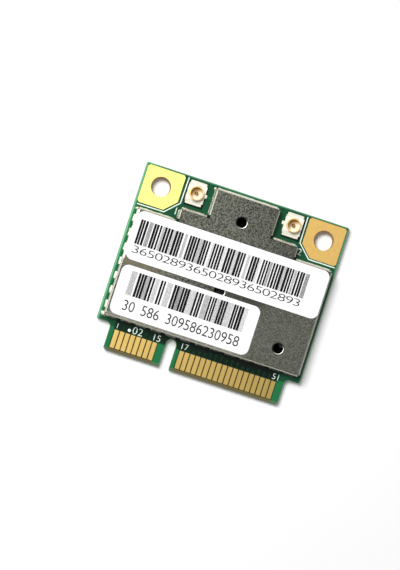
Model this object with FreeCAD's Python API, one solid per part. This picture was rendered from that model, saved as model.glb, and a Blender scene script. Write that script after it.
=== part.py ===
# Half-length wireless network card for a laptop: a small circuit board with an edge connector,
# a soldered shield can over the radio, two coaxial antenna jacks and two adhesive labels.
# Millimetres. X runs across the card, +Y towards the antenna end, +Z up from the underside.
# The origin is at the centre of the board's underside.

import FreeCAD, Part
import math
import os

V = FreeCAD.Vector

# Circuit board
board_width = 30.0
board_length = 26.8
board_thickness = 1.0
board_corner_radius = 0.15

# Edge connector: pads on both faces, in a short and a long row either side of the key
contact_pitch = 0.8
contact_width = 0.62
contact_length = 2.55
contact_setback = 0.5
contact_side_margin = 0.74
short_row_count = 8
long_row_count = 18
key_to_short_row = 2.25
key_to_long_row = 1.75
key_width = 1.6
key_depth = 4.25
tongue_length = 3.85
tongue_root_radius = 0.7
tongue_corner_radius = 0.4
bevel_run = 0.4
bevel_drop = 0.22
copper_thickness = 0.04

# Plated screw holes, with a ground pad on each face
hole_radius = 1.3
hole_inset = 2.9
barrel_wall = 0.05
pad_margin = 0.25
pad_size = 5.5
pad_corner_cut = 0.25
pad_chamfer = 1.65

# Square test pads on the underside
test_pad_size = 0.9
test_pad_pitch = 2.2
test_pad_count = 9
test_pad_rear_gap = 9.5

# Shield can: a folded lid over a soldered frame
shield_side_gap = 0.6
shield_front_gap = 4.65
body_rear_gap = 6.6
shoulder_width = 17.4
shoulder_rear_gap = 4.75
tower_width = 9.4
tower_rear_gap = 0.6
shield_height = 1.8
lid_sheet = 0.15
lid_fold_radius = 0.2
lid_corner_relief = 0.25
lid_clearance = 0.02
slit_width = 0.25
slit_height = 0.75
lid_hole_radius = 0.75
front_hole_side_gap = 4.1
front_hole_front_gap = 2.9
tower_hole_rear_gap = 4.12
frame_sheet = 0.2
frame_flange = 0.9
frame_bridge_width = 1.6
frame_bridge_gap = 0.6
foot_length = 1.25
foot_gap = 0.85
front_foot_length = 1.7
front_foot_gap = 0.5
foot_notch_height = 0.3

# Solder along the frame's feet
solder_width = 0.48
solder_height = 0.28
solder_waist = 0.35
skirt_clearance = 0.12

# Labels on the lid
label_thickness = 0.08
label_corner_radius = 1.0
label_gap = 0.75
upper_label_margin = 0.22
lower_label_width = 20.4
lower_label_height = 7.1
lower_label_side_margin = 0.4
lower_label_front_margin = 0.45

# Coaxial antenna jacks
jack_tower_gap = 2.5
jack_rear_gap = 2.15
jack_base_size = 2.6
jack_base_height = 0.4
jack_base_chamfer = 0.1
jack_ring_radius = 1.0
jack_ring_wall = 0.14
jack_plate_size = 2.2
jack_plate_height = 0.2
jack_plate_thickness = 0.12
jack_height = 1.25
jack_groove_depth = 0.04
jack_groove_low = 0.72
jack_groove_high = 0.95
jack_leg_width = 2.35
jack_leg_lap = 0.25
jack_leg_length = 0.35
jack_tab_width = 0.55
jack_tab_thickness = 0.12
jack_pin_radius = 0.24
jack_pin_height = 1.0
jack_pin_taper = 0.12
jack_tail_width = 0.5
jack_tail_thickness = 0.12
jack_tail_length = 0.3

# Chips under the shield
radio_chip_end_gap = 3.275
radio_chip_height = 0.85
radio_chip_x = 1.0
chip_corner_cut = 0.3
amplifier_size = 3.0
amplifier_height = 0.6
amplifier_side_gap = 2.9
amplifier_rear_gap = 2.2
filter_length = 2.0
filter_width = 1.25
filter_height = 0.9
filter_side_gap = 2.1
filter_rear_gap = 2.0
switch_size = 1.6
switch_height = 0.55
switch_rear_gap = 1.6
left_column_side_gap = 4.6
right_column_side_gap = 3.0
memory_width = 3.0
memory_length = 4.4
memory_height = 1.0
memory_lead_pitch = 0.65
memory_lead_width = 0.25
memory_lead_count = 4
regulator_width = 2.9
regulator_length = 1.6
regulator_height = 1.05
regulator_lead_pitch = 0.95
regulator_lead_width = 0.4
regulator_lead_count = 3
lead_length = 0.7
lead_thickness = 0.13
lead_shoulder_height = 0.5
chip_standoff = 0.1
crystal_length = 3.2
crystal_width = 2.5
crystal_base_height = 0.4
crystal_cap_height = 0.35
crystal_cap_margin = 0.15
inductor_size = 3.0
inductor_flange_height = 0.3
inductor_neck_radius = 0.95
inductor_neck_height = 0.55
inductor_corner = 0.7

# Chip capacitors and resistors round the radio chip
passive_length = 1.0
passive_width = 0.5
capacitor_height = 0.5
resistor_height = 0.35
passive_end_length = 0.25
passive_end_lip = 0.03
passive_gap = 0.45
passive_pitch = 1.3

# Reference planes and places worked out from the sizes above
front = -board_length / 2
rear = board_length / 2
side = board_width / 2
top = board_thickness
row_span = ((short_row_count + long_row_count - 2) * contact_pitch
            + key_to_short_row + key_to_long_row + contact_pitch / 2)
first_contact_x = -row_span / 2
key_x = first_contact_x + (short_row_count - 1) * contact_pitch + key_to_short_row
tongue_half = row_span / 2 + contact_width / 2 + contact_side_margin
lid_half = side - shield_side_gap
lid_front = front + shield_front_gap
body_rear = rear - body_rear_gap
shoulder_rear = rear - shoulder_rear_gap
tower_rear = rear - tower_rear_gap
lid_top = top + shield_height
skirt_bottom = top + solder_height + skirt_clearance
frame_inset = lid_sheet + lid_clearance
frame_top = lid_top - lid_sheet
body_length = body_rear - lid_front
body_centre_y = (lid_front + body_rear) / 2
radio_chip_size = body_length - 2 * radio_chip_end_gap
passives_per_row = int(radio_chip_size / passive_pitch)
lower_label_rear = lid_front + lower_label_front_margin + lower_label_height
jack_offset = tower_width / 2 + jack_tower_gap
jack_y = rear - jack_rear_gap


def face(corners):
    """Flat face through (x, y, radius) corners, each rounded by its radius."""
    count = len(corners)
    spans = []
    edges = []
    for index in range(count):
        x, y, radius = corners[index]
        corner = V(x, y, 0)
        before = V(corners[index - 1][0], corners[index - 1][1], 0)
        after = V(corners[(index + 1) % count][0], corners[(index + 1) % count][1], 0)
        back = (before - corner).normalize()
        ahead = (after - corner).normalize()
        half = back.getAngle(ahead) / 2
        cut = radius / math.tan(half)
        start = corner + back * cut
        end = corner + ahead * cut
        if radius > 0:
            bisector = (back + ahead).normalize()
            middle = corner + bisector * (radius / math.sin(half) - radius)
            edges.append(Part.Arc(start, middle, end).toShape())
        spans.append((start, end))
    for index in range(count):
        line = Part.makeLine(spans[index][1], spans[(index + 1) % count][0])
        edges.append(line)
    return Part.Face(Part.Wire(Part.__sortEdges__(edges)))


def slab(corners, low, high):
    """Flat plate with the given outline between two heights."""
    plate = face(corners).extrude(V(0, 0, high - low))
    plate.translate(V(0, 0, low))
    return plate


def rectangle(x0, y0, x1, y1, radius):
    return [(x0, y0, radius), (x1, y0, radius), (x1, y1, radius), (x0, y1, radius)]


def box(x0, y0, z0, x1, y1, z1):
    low = V(min(x0, x1), min(y0, y1), z0)
    return Part.makeBox(abs(x1 - x0), abs(y1 - y0), z1 - z0, low)


def disc(x, y, radius, low, high):
    return Part.makeCylinder(radius, high - low, V(x, y, low))


def side_prism(points, x0, x1):
    """Prism along X whose section is a list of (y, z) points."""
    ring = [V(x0, y, z) for y, z in points]
    return Part.Face(Part.makePolygon(ring + ring[:1])).extrude(V(x1 - x0, 0, 0))


def save(name, shape):
    shape.exportStep("parts/" + name + ".step")


def contact_row(first_x, count, low):
    """Row of separate contact pads, pitched along X."""
    y0 = front + contact_setback
    pads = []
    for index in range(count):
        x = first_x + index * contact_pitch
        pads.append(box(x - contact_width / 2, y0, low,
                        x + contact_width / 2, y0 + contact_length, low + copper_thickness))
    return Part.makeCompound(pads)


def contact_rows():
    """The four rows: the underside's contacts stand half a pitch to the right of the top ones."""
    long_first = key_x + key_to_long_row
    stagger = contact_pitch / 2
    return {
        "top_contacts_short": contact_row(first_contact_x, short_row_count, top - copper_thickness),
        "top_contacts_long": contact_row(long_first, long_row_count, top - copper_thickness),
        "bottom_contacts_short": contact_row(first_contact_x + stagger, short_row_count, 0),
        "bottom_contacts_long": contact_row(long_first + stagger, long_row_count, 0),
    }


def hole_centre(hand):
    return hand * (side - hole_inset), rear - hole_inset


def ground_plating(hand):
    """Copper of one screw hole: a pad on each face, joined by the plated barrel."""
    outer = hand * (side - pad_margin)
    inner = outer - hand * pad_size
    pad_rear = rear - pad_margin
    pad_front = pad_rear - pad_size
    cut = pad_corner_cut
    outline = [(outer - hand * cut, pad_front, 0),
               (inner + hand * pad_chamfer, pad_front, 0),
               (inner, pad_front + pad_chamfer, 0),
               (inner, pad_rear - cut, 0),
               (inner + hand * cut, pad_rear, 0),
               (outer - hand * cut, pad_rear, 0),
               (outer, pad_rear - cut, 0),
               (outer, pad_front + cut, 0)]
    x, y = hole_centre(hand)
    plating = slab(outline, 0, copper_thickness)
    plating = plating.fuse(slab(outline, top - copper_thickness, top))
    plating = plating.fuse(disc(x, y, hole_radius + barrel_wall, 0, top))
    return plating.cut(disc(x, y, hole_radius, 0, top))


def test_pads():
    """Row of square probing pads in the underside."""
    y = rear - test_pad_rear_gap
    half = test_pad_size / 2
    first = -(test_pad_count - 1) * test_pad_pitch / 2
    pads = []
    for index in range(test_pad_count):
        x = first + index * test_pad_pitch
        pads.append(box(x - half, y - half, 0, x + half, y + half, copper_thickness))
    return Part.makeCompound(pads)


def board_outline():
    """Board outline, anticlockwise from the left rear corner, with the tongue and its key slot."""
    step = front + tongue_length
    key_left = key_x - key_width / 2
    key_right = key_x + key_width / 2
    key_end = front + key_depth
    round_end = 0.999 * key_width / 2
    return [(-side, rear, board_corner_radius),
            (-side, step, board_corner_radius),
            (-tongue_half, step, tongue_root_radius),
            (-tongue_half, front, tongue_corner_radius),
            (key_left, front, 0),
            (key_left, key_end, round_end),
            (key_right, key_end, round_end),
            (key_right, front, 0),
            (tongue_half, front, tongue_corner_radius),
            (tongue_half, step, tongue_root_radius),
            (side, step, board_corner_radius),
            (side, rear, board_corner_radius)]


def board(copper):
    """Laminate with bevelled contact edge, screw holes and the seats of all copper let into it."""
    solid = slab(board_outline(), 0, top)
    far = front - bevel_run
    upper = [(front + bevel_run, top), (far, top - 2 * bevel_drop),
             (far, top + bevel_drop), (front + bevel_run, top + bevel_drop)]
    lower = [(y, top - z) for y, z in upper]
    for section in (upper, lower):
        solid = solid.cut(side_prism(section, -side, side))
    for hand in (-1, 1):
        x, y = hole_centre(hand)
        solid = solid.cut(disc(x, y, hole_radius, 0, top))
    pieces = [piece for shape in copper for piece in shape.Solids]
    return solid.cut(pieces)


def can_outline(inset):
    """Stepped outline of the can, anticlockwise from its front left corner, drawn in by an inset."""
    body = lid_half - inset
    shoulder = shoulder_width / 2 - inset
    tower = tower_width / 2 - inset
    y0 = lid_front + inset
    y1 = body_rear - inset
    y2 = shoulder_rear - inset
    y3 = tower_rear - inset
    return [(-body, y0, 0), (body, y0, 0), (body, y1, 0), (shoulder, y1, 0),
            (shoulder, y2, 0), (tower, y2, 0), (tower, y3, 0), (-tower, y3, 0),
            (-tower, y2, 0), (-shoulder, y2, 0), (-shoulder, y1, 0), (-body, y1, 0)]


def can_sides():
    """Straight sides of the frame as (start, direction, outward normal, length, name)."""
    corners = can_outline(frame_inset)
    names = ["front", "right", "rear", "rear", "rear", "rear",
             "rear", "rear", "rear", "rear", "rear", "left"]
    sides = []
    for index, name in enumerate(names):
        x0, y0, _ = corners[index]
        x1, y1, _ = corners[(index + 1) % len(corners)]
        start = V(x0, y0, top)
        along = (V(x1, y1, top) - start)
        length = along.Length
        along.normalize()
        outward = V(along.y, -along.x, 0)
        lead_in = solder_width if index in (3, 5, 8, 10) else 0
        lead_out = solder_width if index in (2, 4, 7, 9) else 0
        sides.append((start + along * lead_in, along, outward, length - lead_in - lead_out, name))
    return sides


def feet(length, name):
    """Places (from, to) of the frame's feet along one side. The rear sides stand on one long foot."""
    if name == "rear":
        return [(0, length)]
    foot, gap = (front_foot_length, front_foot_gap) if name == "front" else (foot_length, foot_gap)
    count = int((length + gap) / (foot + gap))
    first = (length - count * foot - (count - 1) * gap) / 2
    return [(first + index * (foot + gap), first + index * (foot + gap) + foot) for index in range(count)]


def oriented_box(start, along, outward, a0, a1, n0, n1, low, high):
    """Box given by ranges along a side and outwards from it."""
    p = start + along * a0 + outward * n0
    q = start + along * a1 + outward * n1
    return box(p.x, p.y, low, q.x, q.y, high)


def shield_frame():
    """Folded frame: a wall with feet, an inward flange on top and a bridge for the placing machine."""
    inner = frame_inset + frame_sheet
    window = frame_inset + frame_flange
    frame = slab(can_outline(frame_inset), top, frame_top)
    frame = frame.cut(slab(can_outline(inner), top, frame_top - frame_sheet))
    frame = frame.cut(slab(can_outline(window), frame_top - frame_sheet, frame_top))
    bridge_front = lid_holes()[1][1] + lid_hole_radius + frame_bridge_gap
    bridge = box(-lid_half + inner, bridge_front, frame_top - frame_sheet,
                 lid_half - inner, bridge_front + frame_bridge_width, frame_top)
    frame = frame.fuse(bridge)
    notches = []
    for start, along, outward, length, name in can_sides():
        places = feet(length, name)
        for (_, end), (begin, _) in zip(places, places[1:]):
            notches.append(oriented_box(start, along, outward, end, begin,
                                        -1.5 * frame_sheet, frame_sheet / 2,
                                        top, top + foot_notch_height))
    return frame.cut(notches).removeSplitter()


def lid_holes():
    """Round vent holes in the lid's top, as (x, y)."""
    return [(0, rear - tower_hole_rear_gap),
            (0, lower_label_rear + label_gap / 2),
            (lid_half - front_hole_side_gap, lid_front + front_hole_front_gap)]


def shield_lid():
    """Folded lid: a flat top with rounded folds and a slit skirt that springs on to the frame."""
    lid = slab(can_outline(0), skirt_bottom, lid_top)
    relief = lid_corner_relief
    lid = lid.cut([box(x - relief, y - relief, skirt_bottom, x + relief, y + relief, lid_top)
                   for x, y, _ in can_outline(0)])
    folds = [edge for edge in lid.Edges
             if edge.BoundBox.ZMin > lid_top - relief / 2 and edge.Length > 2.5 * relief]
    lid = lid.makeFillet(lid_fold_radius, folds)
    lid = lid.cut(slab(can_outline(lid_sheet), skirt_bottom, lid_top - lid_sheet))
    for x, y in lid_holes():
        lid = lid.cut(disc(x, y, lid_hole_radius, lid_top - lid_sheet, lid_top))
    slits = []
    for start, along, outward, length, name in can_sides():
        if name == "rear":
            continue
        places = feet(length, name)
        for (_, end), (begin, _) in list(zip(places, places[1:]))[::2]:
            middle = (end + begin) / 2
            slits.append(oriented_box(start, along, outward,
                                      middle - slit_width / 2, middle + slit_width / 2,
                                      0, frame_inset + lid_sheet,
                                      skirt_bottom, skirt_bottom + slit_height))
    return lid.cut(slits)


def solder_fillet(start, along, outward, begin, end):
    """Solder along one foot, with the hollow face of a wetted joint."""
    foot = start + along * begin
    toe = foot + outward * solder_width
    waist = foot + outward * (solder_width * solder_waist) + V(0, 0, solder_height * solder_waist)
    crest = foot + V(0, 0, solder_height)
    section = Part.Face(Part.makePolygon([foot, toe, waist, crest, foot]))
    return section.extrude(along * (end - begin))


def shield_solder():
    """All solder that holds the frame's feet to the board."""
    return Part.makeCompound([solder_fillet(start, along, outward, begin, end)
                              for start, along, outward, length, name in can_sides()
                              for begin, end in feet(length, name)])


def labels():
    """Two adhesive labels on the lid's flat top, one behind the other."""
    low = lid_top
    high = lid_top + label_thickness
    x0 = -lid_half + lower_label_side_margin
    y0 = lid_front + lower_label_front_margin
    lower = rectangle(x0, y0, x0 + lower_label_width, lower_label_rear, label_corner_radius)
    half = lid_half - upper_label_margin
    upper = rectangle(-half, lower_label_rear + label_gap, half, body_rear - upper_label_margin,
                      label_corner_radius)
    return {"upper_label": slab(upper, low, high), "lower_label": slab(lower, low, high)}


def jack_shell(x, inward):
    """Outer contact: a grooved ring drawn from a square plate, with ground legs and a tab."""
    inner = jack_ring_radius - jack_ring_wall
    foot = top + jack_plate_height
    z1 = top + jack_groove_low
    z2 = top + jack_groove_high
    z3 = top + jack_height
    section = [V(inner, 0, foot), V(jack_ring_radius, 0, foot), V(jack_ring_radius, 0, z1),
               V(jack_ring_radius - jack_groove_depth, 0, (z1 + z2) / 2),
               V(jack_ring_radius, 0, z2), V(jack_ring_radius, 0, z3), V(inner, 0, z3)]
    ring = Part.Face(Part.makePolygon(section + section[:1])).revolve(V(0, 0, 0), V(0, 0, 1), 360)
    ring.translate(V(x, jack_y, 0))
    half = jack_plate_size / 2
    plate_top = foot + jack_plate_thickness
    plate = box(x - half, jack_y - half, foot, x + half, jack_y + half, plate_top)
    shell = ring.fuse(plate.cut(disc(x, jack_y, inner, foot, plate_top)))
    reach = jack_base_size / 2 + jack_leg_length
    for way in (-1, 1):
        shell = shell.fuse(box(x - jack_leg_width / 2, jack_y + way * (half - jack_leg_lap), top,
                               x + jack_leg_width / 2, jack_y + way * reach, foot))
    tab_top = top + jack_base_height
    tab = box(x - inward * (jack_ring_radius - jack_ring_wall / 2), jack_y - jack_tab_width / 2,
              tab_top - jack_tab_thickness,
              x - inward * jack_base_size / 2, jack_y + jack_tab_width / 2, tab_top)
    return shell.fuse(tab).removeSplitter()


def jack_pin(x, inward):
    """Centre contact: a post with a tapered tip, on a flat tail that leaves towards the shield."""
    taper = top + jack_pin_height - jack_pin_taper
    post = disc(x, jack_y, jack_pin_radius, top, taper)
    tip_radius = jack_pin_radius - jack_pin_taper
    cap = Part.makeCone(jack_pin_radius, tip_radius, jack_pin_taper, V(x, jack_y, taper))
    tail = box(x, jack_y - jack_tail_width / 2, top,
               x + inward * (jack_base_size / 2 + jack_tail_length), jack_y + jack_tail_width / 2,
               top + jack_tail_thickness)
    return post.fuse([cap, tail])


def jack_base(x, shell, pin):
    """Moulded insulator with cut corners, moulded round the two contacts."""
    half = jack_base_size / 2
    cut = jack_base_chamfer
    y = jack_y
    outline = [(x - half + cut, y - half, 0), (x + half - cut, y - half, 0),
               (x + half, y - half + cut, 0), (x + half, y + half - cut, 0),
               (x + half - cut, y + half, 0), (x - half + cut, y + half, 0),
               (x - half, y + half - cut, 0), (x - half, y - half + cut, 0)]
    base = slab(outline, top, top + jack_base_height)
    well = disc(x, y, jack_ring_radius - jack_ring_wall, top + jack_plate_height,
                top + jack_base_height)
    return base.cut([well, shell, pin])


def moulded_chip(x, y, width, length, height):
    """Flat moulded chip with one corner cut, which marks its first contact."""
    x0 = x - width / 2
    x1 = x + width / 2
    y0 = y - length / 2
    y1 = y + length / 2
    return slab([(x0, y0, 0), (x1, y0, 0), (x1, y1, 0), (x0 + chip_corner_cut, y1, 0),
                 (x0, y1 - chip_corner_cut, 0)], top, top + height)


def leaded_chip(x, y, width, length, height, count, pitch, lead_width):
    """Moulded chip on bent leads along its front and rear sides."""
    chip = box(x - width / 2, y - length / 2, top + chip_standoff,
               x + width / 2, y + length / 2, top + height)
    first = x - (count - 1) * pitch / 2
    leads = []
    for index in range(count):
        centre = first + index * pitch
        for way in (-1, 1):
            edge = y + way * length / 2
            bend = edge + way * lead_length / 2
            x0 = centre - lead_width / 2
            x1 = centre + lead_width / 2
            shoulder = top + lead_shoulder_height
            leads.append(box(x0, edge - way * lead_thickness, shoulder - lead_thickness,
                             x1, bend, shoulder))
            leads.append(box(x0, bend - way * lead_thickness, top, x1, bend, shoulder))
            leads.append(box(x0, bend - way * lead_thickness, top,
                             x1, edge + way * lead_length, top + lead_thickness))
    return chip.multiFuse(leads).removeSplitter()


def crystal(x, y):
    """Timing crystal: a ceramic tray closed by a seam-welded metal cap."""
    half_x = crystal_length / 2
    half_y = crystal_width / 2
    seam = top + crystal_base_height
    tray = box(x - half_x, y - half_y, top, x + half_x, y + half_y, seam)
    half_x -= crystal_cap_margin
    half_y -= crystal_cap_margin
    return tray.fuse(box(x - half_x, y - half_y, seam, x + half_x, y + half_y, seam + crystal_cap_height))


def inductor(x, y):
    """Power inductor: two ferrite flanges with cut corners on a round neck."""
    half = inductor_size / 2
    cut = inductor_corner
    outline = [(x - half + cut, y - half, 0), (x + half - cut, y - half, 0),
               (x + half, y - half + cut, 0), (x + half, y + half - cut, 0),
               (x + half - cut, y + half, 0), (x - half + cut, y + half, 0),
               (x - half, y + half - cut, 0), (x - half, y - half + cut, 0)]
    z1 = top + inductor_flange_height
    z2 = z1 + inductor_neck_height
    core = slab(outline, top, z1).fuse(disc(x, y, inductor_neck_radius, z1, z2))
    return core.fuse(slab(outline, z2, z2 + inductor_flange_height))


def passive(x, y, height, turned):
    """Chip capacitor or resistor with raised metal ends, along X or turned to run along Y."""
    half = passive_length / 2
    wide = passive_width / 2
    lip = passive_end_lip
    block = box(-half, -wide, 0, half, wide, height - lip)
    for way in (-1, 1):
        block = block.fuse(box(way * half, -wide, 0, way * (half - passive_end_length), wide, height))
    if turned:
        block.rotate(V(0, 0, 0), V(0, 0, 1), 90)
    block.translate(V(x, y, top))
    return block


def capacitors():
    """Two columns of capacitors, left and right of the radio chip."""
    offset = radio_chip_size / 2 + passive_gap + passive_length / 2
    first = body_centre_y - (passives_per_row - 1) * passive_pitch / 2
    return Part.makeCompound([passive(radio_chip_x + way * offset, first + index * passive_pitch,
                                      capacitor_height, False)
                              for way in (-1, 1) for index in range(passives_per_row)])


def resistors():
    """Row of resistors in front of the radio chip."""
    y = body_centre_y - radio_chip_size / 2 - passive_gap - passive_length / 2
    first = radio_chip_x - (passives_per_row - 1) * passive_pitch / 2
    return Part.makeCompound([passive(first + index * passive_pitch, y, resistor_height, True)
                              for index in range(passives_per_row)])


def column_places(lengths):
    """Middles of pieces that stand behind one another, evenly spaced along the can's body."""
    gap = (body_length - sum(lengths)) / (len(lengths) + 1)
    places = []
    y = lid_front
    for length in lengths:
        places.append(y + gap + length / 2)
        y += gap + length
    return places


os.makedirs("parts", exist_ok=True)

copper_pieces = contact_rows()
copper_pieces["left_ground_plating"] = ground_plating(-1)
copper_pieces["right_ground_plating"] = ground_plating(1)
copper_pieces["test_pads"] = test_pads()
for node, shape in copper_pieces.items():
    save(node, shape)
save("board", board(list(copper_pieces.values())))

save("shield_frame", shield_frame())
save("shield_lid", shield_lid())
save("shield_solder", shield_solder())
for node, shape in labels().items():
    save(node, shape)

for node, hand in (("left_jack", -1), ("right_jack", 1)):
    jack_x = hand * jack_offset
    shell_shape = jack_shell(jack_x, -hand)
    pin_shape = jack_pin(jack_x, -hand)
    save(node + "_shell", shell_shape)
    save(node + "_pin", pin_shape)
    save(node + "_base", jack_base(jack_x, shell_shape, pin_shape))

save("radio_chip", moulded_chip(radio_chip_x, body_centre_y, radio_chip_size, radio_chip_size,
                                radio_chip_height))
for node, hand in (("left", -1), ("right", 1)):
    amplifier_x = hand * (shoulder_width / 2 - amplifier_side_gap)
    save(node + "_amplifier", moulded_chip(amplifier_x, shoulder_rear - amplifier_rear_gap,
                                           amplifier_size, amplifier_size, amplifier_height))
    filter_x = hand * (tower_width / 2 - filter_side_gap)
    save(node + "_filter", moulded_chip(filter_x, tower_rear - filter_rear_gap,
                                        filter_length, filter_width, filter_height))
save("antenna_switch", moulded_chip(0, shoulder_rear - switch_rear_gap, switch_size, switch_size,
                                    switch_height))

left_x = left_column_side_gap - lid_half
memory_y, crystal_y = column_places([memory_length + 2 * lead_length, crystal_width])
save("memory_chip", leaded_chip(left_x, memory_y, memory_width, memory_length, memory_height,
                                memory_lead_count, memory_lead_pitch, memory_lead_width))
save("crystal", crystal(left_x, crystal_y))

right_x = lid_half - right_column_side_gap
inductor_y, regulator_y = column_places([inductor_size, regulator_length + 2 * lead_length])
save("inductor", inductor(right_x, inductor_y))
save("regulator", leaded_chip(right_x, regulator_y, regulator_width, regulator_length,
                              regulator_height, regulator_lead_count, regulator_lead_pitch,
                              regulator_lead_width))

save("capacitors", capacitors())
save("resistors", resistors())
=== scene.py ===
"""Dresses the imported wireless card: stage, finishes, print, solder and board detail."""

import math

import bmesh
import bpy
from bpy.props import FloatProperty, FloatVectorProperty, IntProperty, PointerProperty
from mathutils import Matrix, Vector, noise


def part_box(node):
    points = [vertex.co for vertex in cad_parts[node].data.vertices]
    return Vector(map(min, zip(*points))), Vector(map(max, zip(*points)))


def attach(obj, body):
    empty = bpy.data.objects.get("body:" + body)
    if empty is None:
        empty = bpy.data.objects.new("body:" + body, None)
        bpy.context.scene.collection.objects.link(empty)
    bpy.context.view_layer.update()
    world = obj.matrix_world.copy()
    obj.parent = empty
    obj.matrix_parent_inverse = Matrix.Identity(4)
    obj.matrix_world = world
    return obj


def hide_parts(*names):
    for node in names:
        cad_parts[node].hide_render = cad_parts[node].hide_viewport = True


bl_info = {
    "name": "Wireless card finishes",
    "version": (1, 0, 0),
    "blender": (4, 5, 0),
    "location": "3D View > Sidebar > Wireless card",
    "description": "Stage, finishes, print, solder and board detail of a laptop wireless card",
    "category": "Object",
}

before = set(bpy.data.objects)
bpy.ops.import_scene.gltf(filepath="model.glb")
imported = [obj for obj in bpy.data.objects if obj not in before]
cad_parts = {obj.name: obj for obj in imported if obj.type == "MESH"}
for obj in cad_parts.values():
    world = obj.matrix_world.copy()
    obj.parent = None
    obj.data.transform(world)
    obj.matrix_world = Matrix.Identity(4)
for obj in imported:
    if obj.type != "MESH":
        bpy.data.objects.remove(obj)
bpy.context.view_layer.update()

# Metres in a millimetre. Lengths in this file are in millimetres, except inside the meshes of finished
# pieces, the stage and the settings, which are in metres.
MM = 0.001


def node_box(name):
    """Lowest and highest corner of a CAD node."""
    low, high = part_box(name)
    return low / MM, high / MM


board_low, board_high = node_box("board")
lid_low, lid_high = node_box("shield_lid")
upper_low, upper_high = node_box("upper_label")
lower_low, lower_high = node_box("lower_label")

TOP = board_high.z
LABEL_TOP = upper_high.z
OUTSIDE = 20            # past every side of the card
TABLE_RADIUS = 1500
SKIN = 0.012            # height of print and masked copper over their ground
HEEL = 0.02             # depth to which solder reaches into what it joins
CONTACT_PITCH = 0.8
CONTACT_WIDTH = 0.62
VENT_RADIUS = 0.75
TOWER_LENGTH = 6.7      # of the shield's narrow part at the antenna end, with its corners
DIGIT_HEIGHT = 0.69     # of a digit in a font of size 1
TOP_ROWS = ("top_contacts_short", "top_contacts_long")
CONTACT_ROWS = (*TOP_ROWS, "bottom_contacts_short", "bottom_contacts_long")
JACKS = ("left_jack", "right_jack")


# Node trees

def rgba(colour, factor=1.0):
    return tuple(channel * factor for channel in colour[:3]) + (1.0,)


class Tree:
    """A node tree with short calls that add nodes, set their inputs and link them."""

    def __init__(self, tree):
        self.tree = tree

    def add(self, kind, inputs=None, out=0, **settings):
        """Adds a node and returns one of its outputs."""
        node = self.tree.nodes.new(kind)
        for name, value in settings.items():
            setattr(node, name, value)
        for key, value in (inputs or {}).items():
            self.feed(node.inputs[key], value)
        return node.outputs[out]

    def feed(self, socket, value):
        if isinstance(value, bpy.types.NodeSocket):
            self.tree.links.new(value, socket)
        else:
            socket.default_value = value

    def end(self, kind, value):
        """Adds the tree's output node."""
        self.feed(self.tree.nodes.new(kind).inputs[0], value)

    def split(self, vector):
        return self.add("ShaderNodeSeparateXYZ", {0: vector}).node.outputs

    def math(self, operation, *values):
        """Runs values through one operation, from the left."""
        result = self.add("ShaderNodeMath", dict(enumerate(values[:2])), operation=operation)
        return self.math(operation, result, *values[2:]) if len(values) > 2 else result

    def times(self, *factors):
        return self.math("MULTIPLY", *factors) if len(factors) > 1 else factors[0]

    def largest(self, *values):
        return self.math("MAXIMUM", *values)


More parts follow.
